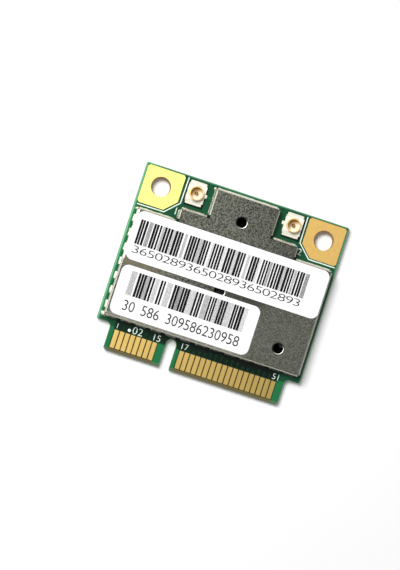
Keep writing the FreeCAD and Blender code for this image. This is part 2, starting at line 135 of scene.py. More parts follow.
class Finish(Tree):
    """Material with one Principled shader, in millimetres of the object's own coordinates."""

    def __init__(self, name, colour, metallic, **inputs):
        self.material = bpy.data.materials.new(name)
        self.material.use_nodes = True
        super().__init__(self.material.node_tree)
        self.shader = self.tree.nodes["Principled BSDF"].inputs
        self.shader["Base Color"].default_value = rgba(colour)
        self.shader["Metallic"].default_value = metallic
        for label, value in inputs.items():
            self.shader[label.replace("_", " ")].default_value = value
        place = self.add("ShaderNodeTexCoord", out="Object")
        self.place = self.add("ShaderNodeVectorMath", {0: place, "Scale": 1 / MM}, operation="SCALE")
        self.x, self.y, self.z = self.split(self.place)
        facing = self.split(self.add("ShaderNodeNewGeometry", out="Normal"))
        self.facing_x, self.facing_y, self.facing_z = facing

    def dress(self, *nodes):
        """Gives CAD nodes this finish."""
        for node in nodes:
            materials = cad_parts[node].data.materials
            materials.clear()
            materials.append(self.material)

    def paint(self, tone):
        self.feed(self.shader["Base Color"], tone)

    def emboss(self, *layers):
        """Relief in layers, each as (height, depth)."""
        inputs = {"Strength": 1.0}
        for height, depth in layers:
            inputs.update({"Height": height, "Distance": depth * MM})
            inputs["Normal"] = self.add("ShaderNodeBump", inputs)
        self.feed(self.shader["Normal"], inputs["Normal"])

    def step(self, value, low, high):
        """0 below low, 1 above high; the other way round where low is above high."""
        return self.add("ShaderNodeMapRange", {"Value": value, "From Min": low, "From Max": high})

    def within(self, value, low, high, soft=0.05):
        """1 between low and high, with soft ends."""
        return self.times(self.step(value, low - soft, low + soft),
                          self.step(value, high + soft, high - soft))

    def area(self, x0, y0, x1, y1, soft=0.05):
        """1 in a rectangle, seen from above."""
        return self.times(self.within(self.x, x0, x1, soft), self.within(self.y, y0, y1, soft))

    def above(self):
        """1 on the component side, 0 on the underside."""
        return self.step(self.z, 0.5, 0.6)

    def steep(self, flat, upright):
        """0 where the vertical part of the normal is over flat, 1 where it is under upright."""
        return self.step(self.math("ABSOLUTE", self.facing_z), flat, upright)

    def around(self, x, y, shift=0.0):
        """Distance from the nearer of two mirrored places, with its parts across and along."""
        away = self.math("SUBTRACT", self.math("ABSOLUTE", self.x), x)
        across = self.math("SUBTRACT", self.times(away, self.math("SIGN", self.x)), shift)
        along = self.math("SUBTRACT", self.y, y)
        squares = self.math("ADD", self.times(across, across), self.times(along, along))
        return self.math("SQRT", squares), across, along

    def grain(self, size, detail=2.0, roughness=0.5, stretch=None):
        """Noise whose features are about size long."""
        place = self.place
        if stretch:
            place = self.add("ShaderNodeVectorMath", {0: place, 1: stretch}, operation="MULTIPLY")
        return self.add("ShaderNodeTexNoise", {"Vector": place, "Scale": 1 / size, "Detail": detail,
                                               "Roughness": roughness})

    def mix(self, factor, a, b):
        return self.add("ShaderNodeMix", {0: factor, 6: a, 7: b}, 2, data_type="RGBA")

    def coat(self, tone, colour, *strengths):
        """Lays a colour over a tone, as strongly as the strengths multiplied."""
        return self.mix(self.times(*strengths), tone, colour)

    def patchy(self, colour, size, least, most):
        """Colour times least to most, in patches of about size."""
        patches = self.step(self.grain(size, 3.0), 0.35, 0.65)
        return self.mix(patches, rgba(colour, least), rgba(colour, most))

    def vary(self, colour, size, amount):
        """Paints a colour that varies by amount either way, in patches of about size."""
        most = min(1 + amount, 1 / max(colour[:3]))
        self.paint(self.patchy(colour, size, 1 - amount, most))


# Meshes, built in millimetres

def mesh_from(name, form):
    """Mesh in metres from a bmesh."""
    mesh = bpy.data.meshes.new(name)
    form.to_mesh(mesh)
    form.free()
    mesh.transform(Matrix.Scale(MM, 4))
    return mesh


def piece_from(name, form, finish):
    """Turns a bmesh's faces outwards and puts it into the scene as a piece of the card."""
    bmesh.ops.recalc_face_normals(form, faces=form.faces)
    mesh = mesh_from(name, form)
    mesh.materials.append(finish.material)
    piece = bpy.data.objects.new(name, mesh)
    bpy.context.scene.collection.objects.link(piece)
    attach(piece, "root")
    return piece


def take(form, holder, place=Matrix()):
    """Adds to a bmesh what an object evaluates to, and removes the object."""
    bpy.context.scene.collection.objects.link(holder)
    evaluated = holder.evaluated_get(bpy.context.evaluated_depsgraph_get())
    mesh = bpy.data.meshes.new_from_object(evaluated)
    mesh.transform(place)
    form.from_mesh(mesh)
    holder.modifiers.clear()
    bpy.data.objects.remove(holder)
    bpy.data.meshes.remove(mesh)


def wrap(form, rings, closed=False):
    """Joins rings of vertices with faces and caps the ends, or closes the last ring to the first."""
    for first, second in zip(rings, rings[1:] + (rings[:1] if closed else [])):
        for j in range(len(first)):
            form.faces.new((first[j - 1], first[j], second[j], second[j - 1]))
    if not closed:
        form.faces.new(rings[0])
        form.faces.new(rings[-1])


def quarter_round(form, place, way, reach, height, steps):
    """Ring of a fillet's section: a quarter round that reaches out along way, and its heel behind."""
    angles = (math.pi / 2 * j / steps for j in range(steps + 1))
    ring = [form.verts.new(place + way * (math.cos(angle) * reach)
                           + Vector((0, 0, math.sin(angle) * height))) for angle in angles]
    return ring + [form.verts.new(place - way * HEEL)]


def ribbon(form, points, width, low, high):
    """Flat strip of a set width along a line of (x, y) points, with mitred bends."""
    path = [Vector(point) for point in points]
    rings = []
    for index, point in enumerate(path):
        before = (point - path[index - 1]).normalized() if index else None
        after = (path[index + 1] - point).normalized() if index < len(path) - 1 else None
        before = before or after
        after = after or before
        along = (before + after).normalized()
        across = Vector((-along.y, along.x)) * (width / 2 / max(along.dot(after), 0.3))
        rings.append([form.verts.new((*(point + across * hand), z)) for hand, z in
                      ((1, low), (1, high), (-1, high), (-1, low))])
    wrap(form, rings)


def lettering(words, level, thickness):
    """Bmesh of centred numbers about a level, each as (text, x, y, size, squeeze, weight)."""
    form = bmesh.new()
    for text, x, y, size, squeeze, weight in words:
        curve = bpy.data.curves.new("numbers", "FONT")
        curve.body = text
        curve.size = size
        curve.align_x = "CENTER"
        curve.align_y = "CENTER"
        curve.resolution_u = 3
        curve.offset = weight
        curve.extrude = thickness / 2
        place = Matrix.Translation((x, y, level)) @ Matrix.Diagonal((squeeze, 1, 1, 1))
        take(form, bpy.data.objects.new("numbers", curve), place)
        bpy.data.curves.remove(curve)
    bmesh.ops.remove_doubles(form, verts=form.verts, dist=1e-4)
    return form


# Geometry Nodes

class Builder(Tree):
    """Geometry Nodes tree with named inputs, for a row of like things."""

    KINDS = {"Material": "NodeSocketMaterial", "Seed": "NodeSocketInt", "Count": "NodeSocketInt",
             "Start": "NodeSocketVector", "Step": "NodeSocketVector"}

    def __init__(self, name, *inputs):
        super().__init__(bpy.data.node_groups.new(name, "GeometryNodeTree"))
        for label in ("Start", "Step", "Count", *inputs, "Thickness", "Seed", "Material"):
            kind = self.KINDS.get(label, "NodeSocketFloat")
            self.tree.interface.new_socket(label, in_out="INPUT", socket_type=kind)
        self.tree.interface.new_socket("Geometry", in_out="OUTPUT", socket_type="NodeSocketGeometry")
        self.given = self.tree.nodes.new("NodeGroupInput").outputs

    def xyz(self, x, y, z):
        return self.add("ShaderNodeCombineXYZ", {0: x, 1: y, 2: z})

    def random(self, low, high, key=0, **inputs):
        """Random number for each point, or for each ID; draws with other keys differ."""
        inputs = {2: low, 3: high, "Seed": self.math("ADD", self.given["Seed"], float(key)), **inputs}
        return self.add("FunctionNodeRandomValue", inputs, 1, data_type="FLOAT")

    def row(self):
        """Points of a row, from the tree's Start, Step and Count."""
        inputs = {"Count": self.given["Count"], "Start Location": self.given["Start"],
                  "Offset": self.given["Step"]}
        return self.add("GeometryNodeMeshLine", inputs, mode="OFFSET", count_mode="TOTAL")

    def turn(self):
        """Place along a row of print, counted in groups of uneven length."""
        place = self.add("GeometryNodeInputPosition")
        sway = self.add("ShaderNodeTexNoise", {"Vector": place, "W": self.given["Seed"], "Scale": 0.35,
                                               "Detail": 0.0}, noise_dimensions="4D")
        return self.math("ADD", self.math("DIVIDE", self.split(place)[0], self.given["Group"]), sway)

    def moved(self, points, offset):
        return self.add("GeometryNodeSetPosition", {"Geometry": points, "Offset": offset})

    def copies(self, points, shape, **inputs):
        inputs = {"Points": points, "Instance": shape, **inputs}
        return self.add("GeometryNodeInstanceOnPoints", inputs)

    def box(self):
        return self.add("GeometryNodeMeshCube", {"Size": (1, 1, 1)})

    def finish(self, geometry):
        """Ends the tree in realized instances with their material."""
        real = self.add("GeometryNodeRealizeInstances", {0: geometry})
        done = self.add("GeometryNodeSetMaterial", {"Geometry": real, "Material": self.given["Material"]})
        self.end("NodeGroupOutput", done)
        return self.tree


def build(tree, finish, rows):
    """Bmesh of what a tree makes of each set of inputs."""
    labels = {item.name: item.identifier for item in tree.interface.items_tree if item.in_out == "INPUT"}
    form = bmesh.new()
    for row in rows:
        holder = bpy.data.objects.new("holder", bpy.data.meshes.new("holder"))
        modifier = holder.modifiers.new("build", "NODES")
        modifier.node_group = tree
        for label, value in {**row, "Material": finish.material}.items():
            modifier[labels[label]] = value
        take(form, holder)
    return form


def bar_tree():
    """Row of printed bars in groups: one or two modules wide, each shifted within its own pitch."""
    tree = Builder("printed_bars", "Bar height", "Module", "Pitch", "Group", "Share")
    given = tree.given
    width = tree.times(tree.random(1.2, 1.75), given["Module"])
    shift = tree.times(tree.math("SUBTRACT", given["Pitch"], width), tree.random(-0.3, 0.3, 1))
    barred = tree.math("LESS_THAN", tree.math("FRACT", tree.turn()), given["Share"])
    size = tree.xyz(width, given["Bar height"], given["Thickness"])
    points = tree.moved(tree.row(), tree.xyz(shift, 0.0, 0.0))
    return tree.finish(tree.copies(points, tree.box(), Selection=barred, Scale=size))


def hatch_tree():
    """Row of hair lines between the groups, where narrow bars stand too close to tell apart."""
    tree = Builder("hair_lines", "Bar height", "Module", "Pitch", "Group", "Share")
    given = tree.given
    turn = tree.turn()
    width = tree.times(tree.random(0.35, 1.35, 5, ID=tree.math("FLOOR", turn)), given["Module"])
    between = tree.math("GREATER_THAN", tree.math("FRACT", turn), given["Share"])
    size = tree.xyz(width, given["Bar height"], given["Thickness"])
    return tree.finish(tree.copies(tree.row(), tree.box(), Selection=between, Scale=size))


def trace_tree():
    """Traces that leave a row of contacts and end in tented vias, at uneven lengths."""
    tree = Builder("traces", "Shortest", "Longest", "Width", "Via radius")
    given = tree.given
    length = tree.random(given["Shortest"], given["Longest"])
    points = tree.row()
    strip = tree.add("GeometryNodeTransform", {"Geometry": tree.box(), "Translation": (0, 0.5, 0)})
    strips = tree.copies(points, strip, Scale=tree.xyz(given["Width"], length, given["Thickness"]))
    via = tree.add("GeometryNodeMeshCylinder", {"Vertices": 14, "Radius": given["Via radius"],
                                                "Depth": tree.times(given["Thickness"], 1.6)})
    vias = tree.copies(tree.moved(points, tree.xyz(0.0, length, 0.0)), via)
    joined = tree.tree.nodes.new("GeometryNodeJoinGeometry")
    for part in (vias, strips):
        tree.feed(joined.inputs[0], part)
    return tree.finish(joined.outputs[0])


def via_tree():
    """Row of vias: raised rings round a drilled middle."""
    tree = Builder("vias", "Radius")
    wander = tree.xyz(tree.random(-0.06, 0.06), tree.random(-0.06, 0.06, 1), 0.0)
    outline, section = (tree.add("GeometryNodeCurvePrimitiveCircle", {"Resolution": steps, "Radius": radius})
                        for steps, radius in ((16, tree.given["Radius"]), (6, tree.given["Thickness"])))
    ring = tree.add("GeometryNodeCurveToMesh", {"Curve": outline, "Profile Curve": section})
    return tree.finish(tree.copies(tree.moved(tree.row(), wander), ring))


# Settings

def a_colour(name, default, description):
    return FloatVectorProperty(name=name, description=description, default=default, size=3, min=0, max=1,
                               subtype="COLOR")


def a_length(name, default, description, least=0.0):
    """Length, kept in metres, with its default and least value in millimetres."""
    return FloatProperty(name=name, description=description, default=default * MM, min=least * MM,
                         unit="LENGTH")


def an_angle(name, degrees, description):
    return FloatProperty(name=name, description=description, default=math.radians(degrees),
                         subtype="ANGLE")


class CardStageSettings(bpy.types.PropertyGroup):
    camera_distance: a_length("Camera distance", 500, "Height of the camera over the card", 100)
    turn: an_angle("Turn", -18.19, "Turn of the card in the picture")
    lean_right: an_angle("Lean right", 6.5, "How far the card leans away to the right")
    lean_forward: an_angle("Lean forward", -2.13, "How far the card leans towards the viewer")
    offset: FloatVectorProperty(name="Offset", size=2, default=(2.642 * MM, -0.12 * MM), unit="LENGTH",
                                description="Place of the card's middle in the picture")
    lens: FloatProperty(name="Lens", default=149.98, min=10, unit="CAMERA",
                        description="Focal length for a frame 24 mm high")
    key_power: FloatProperty(name="Key power", default=1.72, min=0, unit="POWER",
                             description="Power of the soft light from the rear left")
    key_size: a_length("Key size", 200, "Width of the soft light", 10)
    key_distance: a_length("Key distance", 420, "Distance of the soft light from the card", 50)
    key_azimuth: an_angle("Key azimuth", 146, "Way to the light, anticlockwise from the card's right")
    key_elevation: an_angle("Key elevation", 60, "Height of the light over the horizon")
    ambient: FloatProperty(name="Ambient", default=0.30, min=0,
                           description="Level of light from all round")
    floor_colour: a_colour("Floor colour", (0.95, 0.95, 0.95), "Colour of the table")
    floor_lift: FloatProperty(name="Floor lift", default=0.03, min=0,
                              description="How much the table is lifted to white for the camera")


class CardBoardSettings(bpy.types.PropertyGroup):
    mask_dark: a_colour("Mask over laminate", (0.006, 0.058, 0.026), "Solder mask over bare laminate")
    mask_bright: a_colour("Mask over copper", (0.016, 0.165, 0.056), "Solder mask over copper")
    # The rim's pale colour is painted highlight along the board's edge.
    mask_rim_highlight: a_colour("Mask at the rim", (0.17, 0.50, 0.28), "Solder mask along the board's edge")
    laminate: a_colour("Laminate", (0.17, 0.34, 0.16), "Cut edge of the laminate")
    bevel: a_colour("Bevel", (0.17, 0.145, 0.065), "Bevel under the contacts")
    bare: a_colour("Bare laminate", (0.055, 0.042, 0.008), "Laminate without mask between the contacts")
    # The rim is the band of painted highlight along the board's edge.
    rim_width: a_length("Rim width", 0.16, "Width of the rim that has no copper under it")
    via_radius: a_length("Via radius", 0.2, "Radius of the vias")
    trace_width: a_length("Trace width", 0.16, "Width of the traces")


class CardGoldSettings(bpy.types.PropertyGroup):
    # The left pad's paler gold is painted highlight, a reflection of the light.
    left_pad_with_highlight: a_colour("Left pad", (0.835, 0.77, 0.208), "Gold of the left ground pad")
    right_pad: a_colour("Right pad", (0.62, 0.405, 0.125), "Gold of the right ground pad")
    # Painted shade in the screw holes: a dark ring at the mouth, and dull brown plating in the barrel.
    mouth_shade: a_colour("Hole's mouth", (0.15, 0.082, 0.034), "Tarnished ring at a screw hole's mouth")
    barrel_shade: a_colour("Hole's barrel", (0.40, 0.23, 0.07), "Plating inside the screw holes")
    # The contacts' two golds are painted highlight, bright at the left and darker at the right.
    lit_left_contacts: a_colour("Left contacts", (0.72, 0.50, 0.155), "Gold of the contacts at the left")
    shaded_right_contacts: a_colour("Right contacts", (0.39, 0.278, 0.088), "Gold of the contacts at the right")
    jack_gold: a_colour("Jack gold", (0.86, 0.62, 0.27), "Gold of the jacks' contacts")


class CardShieldSettings(bpy.types.PropertyGroup):
    sheet: a_colour("Sheet", (0.096, 0.099, 0.080), "Tinned sheet of the shield")
    # Painted sheen at the left end of the strip between the labels.
    warm_sheen: a_colour("Warm sheet", (0.158, 0.134, 0.091), "Browned sheet between the labels")
    # The folds' colours are painted highlights, the left fold's brightest.
    fold: a_colour("Folds", (0.52, 0.51, 0.43), "Burnished folds of the shield")
    left_fold_highlight: a_colour("Bright fold", (0.95, 0.94, 0.84), "Fold at the left, burnished bright")
    lip: a_colour("Rolled edge", (0.80, 0.80, 0.74), "Rolled edge round the vent holes")
    solder: a_colour("Solder", (0.84, 0.82, 0.70), "Solder at the shield's feet")
    grain_size: a_length("Grain size", 0.22, "Size of the sheet's mottling", 0.01)
    lip_width: a_length("Lip width", 0.13, "Width of the rolled edge round the vent holes")
    bead_spacing: a_length("Bead spacing", 0.12, "Spacing of the sections along a bead of solder", 0.01)


class CardPrintSettings(bpy.types.PropertyGroup):
    paper: a_colour("Label", (0.94, 0.94, 0.94), "White of the labels")
    ink: a_colour("Ink", (0.004, 0.004, 0.005), "Print on the labels")
    legend: a_colour("Legend", (0.80, 0.92, 0.84), "White legend print on the board")
    line_width: a_length("Line width", 0.15, "Width of the legend lines")
    stroke: a_length("Stroke", -0.012, "Extra weight of the legend's strokes", -0.1)
    module: a_length("Bar module", 0.205, "Width of the narrowest bar", 0.02)
    group: a_length("Bar group", 1.8, "Length over which dark bars and grey blocks repeat", 0.2)
    seed: IntProperty(name="Seed", default=11, description="Order of the printed bars")


class CardPartSettings(bpy.types.PropertyGroup):
    insulator: a_colour("Insulator", (0.90, 0.87, 0.78), "Moulded base of the jacks")
    well: a_colour("Well", (0.96, 0.93, 0.84), "Floor of the jacks' wells, on the lit side")
    # Painted shade in the wells, tinted by the gold round it.
    well_shade: a_colour("Gold in the well", (0.62, 0.40, 0.13), "Floor of the wells, beside the gold")
    groove: a_colour("Groove", (0.30, 0.22, 0.15), "Groove between a jack's base and its legs")
    epoxy: a_colour("Chip", (0.012, 0.012, 0.013), "Moulded chips under the shield")
    ceramic: a_colour("Ceramic", (0.32, 0.20, 0.11), "Chip capacitors, resistors and filters")
    ferrite: a_colour("Ferrite", (0.03, 0.03, 0.032), "Core of the inductor")


# Operators

class CARD_OT_stage(bpy.types.Operator):
    """Table, camera and soft light from the upper left"""
    bl_idname = "card.stage"
    bl_label = "Stage"

    def execute(self, context):
        settings = context.scene.card_stage
        self.camera(context.scene, settings)
        self.world(context.scene, settings)
        self.lights(context.scene, settings)
        self.table(context.scene, settings)
        context.scene.view_settings.view_transform = "Standard"
        return {"FINISHED"}

    def camera(self, scene, settings):
        lean = (Matrix.Rotation(settings.turn, 3, "Z") @ Matrix.Rotation(settings.lean_right, 3, "Y")
                @ Matrix.Rotation(settings.lean_forward, 3, "X"))
        turn = lean.transposed()
        data = bpy.data.cameras.new("camera")
        data.sensor_fit = "VERTICAL"
        data.sensor_height = 24
        data.lens = settings.lens
        data.clip_start = 0.01
        data.clip_end = 20
        camera = bpy.data.objects.new("camera", data)
        place = turn @ Vector((-settings.offset[0], -settings.offset[1], settings.camera_distance))
        camera.matrix_world = Matrix.Translation(place) @ turn.to_4x4()
        scene.collection.objects.link(camera)
        scene.camera = camera

    def world(self, scene, settings):
        """White for the camera, even light on the object, and a sheen towards the key in reflections."""
        world = bpy.data.worlds.new("studio")
        world.use_nodes = True
        world.node_tree.nodes.clear()
        scene.world = world
        tree = Tree(world.node_tree)
        path = tree.tree.nodes.new("ShaderNodeLightPath").outputs
        place = tree.add("ShaderNodeTexCoord", out="Generated")
        toward_key = tree.add("ShaderNodeVectorMath", {0: place, 1: (-0.70, 0.50, 0.40)}, "Value",
                              operation="DOT_PRODUCT")
        sheen = tree.add("ShaderNodeMapRange", {"Value": toward_key, "From Min": -0.25, "From Max": 0.35,
                                                "To Min": 0.04, "To Max": 1.0})
        reflected = tree.largest(path["Is Glossy Ray"], path["Is Transmission Ray"])
        level = tree.add("ShaderNodeMix", {0: reflected, 2: settings.ambient, 3: sheen})
        seen = tree.add("ShaderNodeMix", {0: path["Is Camera Ray"], 2: level, 3: 1.0})
        tree.end("ShaderNodeOutputWorld",
                 tree.add("ShaderNodeBackground", {"Color": (1, 1, 1, 1), "Strength": seen}))

    def lights(self, scene, settings):
        data = bpy.data.lights.new("key", "AREA")
        data.shape = "DISK"
        data.size = settings.key_size
        data.energy = settings.key_power
        key = bpy.data.objects.new("key", data)
        level = math.cos(settings.key_elevation)
        way = Vector((level * math.cos(settings.key_azimuth), level * math.sin(settings.key_azimuth),
                      math.sin(settings.key_elevation)))
        key.location = way * settings.key_distance
        key.rotation_euler = way.to_track_quat("Z", "Y").to_euler()
        scene.collection.objects.link(key)

    def table(self, scene, settings):
        form = bmesh.new()
        bmesh.ops.create_circle(form, cap_ends=True, segments=64, radius=TABLE_RADIUS)
        bmesh.ops.translate(form, verts=form.verts, vec=(0, 0, -SKIN * 2))
        material = bpy.data.materials.new("table")
        material.use_nodes = True
        material.node_tree.nodes.clear()
        tree = Tree(material.node_tree)
        path = tree.tree.nodes.new("ShaderNodeLightPath").outputs
        strength = tree.times(path["Is Camera Ray"], settings.floor_lift)
        lift = tree.add("ShaderNodeEmission", {"Color": (1, 1, 1, 1), "Strength": strength})
        matt = tree.add("ShaderNodeBsdfDiffuse", {"Color": rgba(settings.floor_colour)})
        tree.end("ShaderNodeOutputMaterial", tree.add("ShaderNodeAddShader", {0: matt, 1: lift}))
        mesh = mesh_from("table", form)
        mesh.materials.append(material)
        table = bpy.data.objects.new("table", mesh)
        scene.collection.objects.link(table)


class CARD_OT_board(bpy.types.Operator):
    """Solder mask, cut laminate edges and the bare laminate between the contacts"""
    bl_idname = "card.board"
    bl_label = "Board finish"

    def execute(self, context):
        settings = context.scene.card_board
        finish = Finish("solder_mask", settings.mask_dark, 0.0, Specular_IOR_Level=0.12)
        pours_and_highlight = finish.largest(self.pours_and_highlight(finish), finish.times(finish.grain(0.7, 4.0), 0.30))
        windows = self.windows(finish)
        sloped = finish.steep(0.97, 0.90)
        # Painted shade: the board under the shield is painted nearly black and rough.
        under_shield_shade = finish.times(self.under_shield(finish), finish.step(finish.z, 0.9, 0.95))
        colour = self.mask(finish, settings, pours_and_highlight)
        colour = finish.coat(colour, self.bare_laminate(finish, settings), windows)
        # Dark strips beside the jacks; the right one is painted shadow.
        colour = finish.coat(colour, rgba(settings.bare, 0.12), self.slots(finish))
        colour = self.cut_edges(finish, settings, colour, sloped)
        finish.paint(finish.coat(colour, rgba(settings.mask_dark, 0.05), under_shield_shade))
        rough = finish.math("ADD", 0.26, finish.times(finish.largest(windows, sloped), 0.4))
        finish.feed(finish.shader["Roughness"], finish.largest(rough, under_shield_shade))
        rate = 14.0
        weave = finish.times(*(finish.math("SINE", finish.times(way, rate))
                               for way in (finish.x, finish.y)))
        finish.emboss((weave, 0.002), (pours_and_highlight, 0.02))
        finish.dress("board")
        return {"FINISHED"}

    def mask(self, finish, settings, pours_and_highlight):
        """Mask: painted shadow of the shield behind the contacts, painted shadow beside the jacks, and a
        pale painted highlight along the board's edge.
        """
        colour = finish.mix(pours_and_highlight, rgba(settings.mask_dark), rgba(settings.mask_bright))
        above = finish.above()
        contacts_end = node_box("top_contacts_short")[1].y
        # Behind the contacts the mask lies over bare laminate and is painted dark as the shield's shadow,
        # deepening to the right and fading out at the right end.
        strip = finish.area(-12.3, contacts_end + 0.05, 12.2, lid_low.y + 0.5, 0.1)
        depth = finish.math("ADD", 0.85, finish.times(finish.step(finish.x, -4.0, 4.0), 0.15))
        right_end = finish.step(finish.x, 12.4, 11.4)
        colour = finish.coat(colour, rgba(settings.mask_dark, 0.12), strip, above, depth, right_end)
        # Painted shadow of each jack's base, on the board to its right and front.
        for jack in JACKS:
            low, high = node_box(jack + "_base")
            beside = finish.area(low.x + 0.1, low.y - 0.66, high.x + 0.21, high.y - 0.1)
            colour = finish.coat(colour, rgba(settings.mask_dark, 0.05), beside, above, 0.9)
        # Painted highlight along the board's edge, full at the left, where the light falls, and weaker
        # elsewhere.
        edge_highlight = finish.mix(finish.step(finish.x, -13.8, -12.8), rgba(settings.mask_rim_highlight),
                         rgba(settings.mask_rim_highlight, 0.55))
        inset = finish.math("MINIMUM", *(
            finish.math("SUBTRACT", end, finish.math("ABSOLUTE", way))
            for end, way in ((board_high.x, finish.x), (board_high.y, finish.y))))
        width = settings.rim_width / MM
        return finish.coat(colour, edge_highlight, finish.step(inset, width + 0.08, width - 0.08))

    def bare_laminate(self, finish, settings):
        return finish.mix(finish.step(finish.grain(0.12), 0.3, 0.7), rgba(settings.bare, 0.6),
                          rgba(settings.bare, 1.5))

    def cut_edges(self, finish, settings, colour, sloped):
        """Layered laminate on the upright edges, and the bevel at the contacts."""
        bevel = finish.mix(self.spans(finish), rgba(settings.laminate, 0.62), rgba(settings.bevel))
        colour = finish.coat(colour, bevel, sloped)
        layers = finish.add("ShaderNodeTexWave", {"Vector": finish.place, "Scale": 2.2, "Distortion": 0.6},
                            "Color", wave_type="BANDS", bands_direction="Z")
        cut = finish.mix(layers, rgba(settings.laminate, 0.7), rgba(settings.laminate))
        return finish.coat(colour, cut, finish.steep(0.30, 0.20))

    def pours_and_highlight(self, finish):
        """Where copper lies under the mask, beside the contacts and at a jack's tail, and a strip of painted
        highlight along the left side.
        """
        short, long = (node_box(row) for row in TOP_ROWS)
        gap = 0.15
        stretches = ((board_low.x, short[0].x - gap), (short[1].x + gap, long[0].x - gap),
                     (long[1].x + gap, board_high.x))
        beside = (finish.area(x0, -OUTSIDE, x1, short[1].y + 0.3, 0.1) for x0, x1 in stretches)
        # Painted highlight: the strip along the left side, where the light falls.
        left_side_highlight = finish.area(-OUTSIDE, -OUTSIDE, board_low.x + 0.5, OUTSIDE, 0.1)
        tail = finish.times(finish.area(-5.8, 11.13, -4.8, 11.29, 0.03), finish.above())
        return finish.largest(*beside, left_side_highlight, tail)

    def spans(self, finish):
        """The two stretches of edge that the contact rows take up."""
        return finish.largest(*(finish.within(finish.x, low.x - 0.1, high.x + 0.1, 0.08)
                                for low, high in map(node_box, TOP_ROWS)))

    def windows(self, finish):
        """Openings in the mask round the four rows of contacts."""
        spots = []
        margin = 0.02
        for row in CONTACT_ROWS:
            low, high = node_box(row)
            side = (0.4, 0.6) if row in TOP_ROWS else (0.6, 0.4)
            spot = finish.area(low.x - margin, board_low.y - 1, high.x + margin, high.y + margin, 0.02)
            spots.append(finish.times(spot, finish.step(finish.z, *side)))
        return finish.largest(*spots)

    def slots(self, finish):
        """Ragged dark strips beside the outer sides of the two jacks: a mask opening at the left jack, and
        painted shadow at the right one.
        """
        spots = []
        for jack in JACKS:
            low, high = node_box(jack + "_base")
            x0, x1 = (low.x - 0.2, low.x) if low.x < 0 else (high.x, high.x + 0.26)
            spots.append(finish.area(x0, low.y - 0.05, x1, high.y + 0.05, 0.03))
        ragged = finish.step(finish.grain(0.35), 0.38, 0.46)
        return finish.times(finish.largest(*spots), ragged, finish.above())

    def under_shield(self, finish):
        """The board's stretch under the shield."""
        body = finish.area(lid_low.x + 0.3, lid_low.y + 0.3, lid_high.x - 0.3, upper_high.y)
        tower = finish.area(-4.3, 0.0, 4.3, lid_high.y - 0.4)
        return finish.largest(body, tower)


class CARD_OT_board_detail(bpy.types.Operator):
    """Traces and vias under the solder mask, on both faces"""
    bl_idname = "card.board_detail"
    bl_label = "Traces and vias"

    def execute(self, context):
        settings = context.scene.card_board
        tone = [(a + b) / 2 for a, b in zip(settings.mask_dark, settings.mask_bright)]
        copper = Finish("masked_copper", tone, 0.0, Roughness=0.3, Specular_IOR_Level=0.12)
        # On the component side the copper is painted dark, as painted shade to match the shield's painted
        # shadow behind the contacts.
        copper.paint(copper.coat(copper.patchy(tone, 0.6, 0.8, 1.2), rgba(settings.mask_dark, 0.45),
                                 copper.above()))
        traces = build(trace_tree(), copper, self.trace_rows(settings))
        piece_from("traces", traces, copper)
        vias = build(via_tree(), copper, self.via_rows(settings))
        piece_from("vias", vias, copper)
        return {"FINISHED"}

    def trace_rows(self, settings):
        """A trace for each contact: short on the component side, long on the underside."""
        for seed, row in enumerate(CONTACT_ROWS):
            low, high = node_box(row)
            level, longest = (TOP, 0.9) if row in TOP_ROWS else (0.0, 9.0)
            yield {"Start": (low.x + CONTACT_WIDTH / 2, high.y, level), "Step": (CONTACT_PITCH, 0.0, 0.0),
                   "Count": round((high.x - low.x - CONTACT_WIDTH) / CONTACT_PITCH) + 1,
                   "Shortest": 0.3, "Longest": longest, "Width": settings.trace_width / MM,
                   "Via radius": settings.via_radius / MM, "Thickness": SKIN, "Seed": seed}

    def via_rows(self, settings):
        """Stitching vias along the underside's edges and near the jacks."""
        for seed, (x, y, step_x, step_y, count, z) in enumerate((
                (-8.4, 12.9, 1.6, 0.0, 11, 0.0), (-14.5, -7.6, 0.0, 1.7, 9, 0.0),
                (14.5, -7.6, 0.0, 1.7, 9, 0.0), (-13.0, -8.4, 2.0, 0.0, 14, 0.0),
                (-7.5, 6.4, 1.9, 0.0, 9, 0.0), (-6.0, 0.8, 1.5, 0.9, 9, 0.0),
                (5.15, 12.95, 0.85, 0.0, 2, TOP), (-5.9, 12.95, 0.85, 0.0, 2, TOP))):
            yield {"Start": (x, y, z), "Step": (step_x, step_y, 0.0), "Count": count,
                   "Radius": settings.via_radius / MM * 0.75, "Thickness": SKIN * 2, "Seed": seed}


